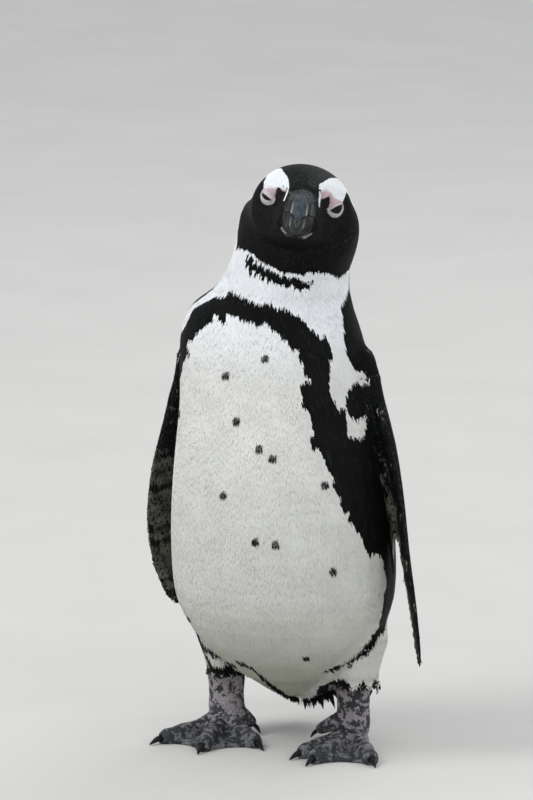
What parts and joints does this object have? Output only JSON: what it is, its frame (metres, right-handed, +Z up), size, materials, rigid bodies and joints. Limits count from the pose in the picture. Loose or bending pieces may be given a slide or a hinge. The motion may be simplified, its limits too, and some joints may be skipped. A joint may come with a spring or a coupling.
{
  "type": "african penguin",
  "caption": "Life-size standing adult penguin with a banded breast, the head turned a little to its left and both flippers hanging.",
  "frame": {"origin": "middle of the footprint box, on the floor that both soles stand on", "axes": "+Z is up along the standing bird, the chest faces -Y and the bird's left side is towards +X"},
  "size_m": [0.2311, 0.1816, 0.4184],
  "materials": {
    "plumage_white": "dense short feathers, matte white",
    "plumage_black": "dense short feathers, black with a slight sheen",
    "horn": "worn dark horn, satin",
    "eye": "wet and glossy dark brown",
    "bare_skin": "scaly bare skin, grey pink with black blotches"
  },
  "bodies": {
    "root": {"torso": "plumage_white", "neck": "plumage_white", "head": "plumage_black", "bill_upper": "horn", "bill_lower": "horn", "tail": "plumage_black", "eye_left": "eye", "eye_right": "eye", "flipper_left": "plumage_black", "flipper_right": "plumage_black", "leg_left": "bare_skin", "leg_right": "bare_skin", "foot_left": "bare_skin", "foot_right": "bare_skin", "claw_left_inner": "horn", "claw_left_middle": "horn", "claw_left_outer": "horn", "claw_left_hind": "horn", "claw_right_inner": "horn", "claw_right_middle": "horn", "claw_right_outer": "horn", "claw_right_hind": "horn"}
  },
  "joints": []
}
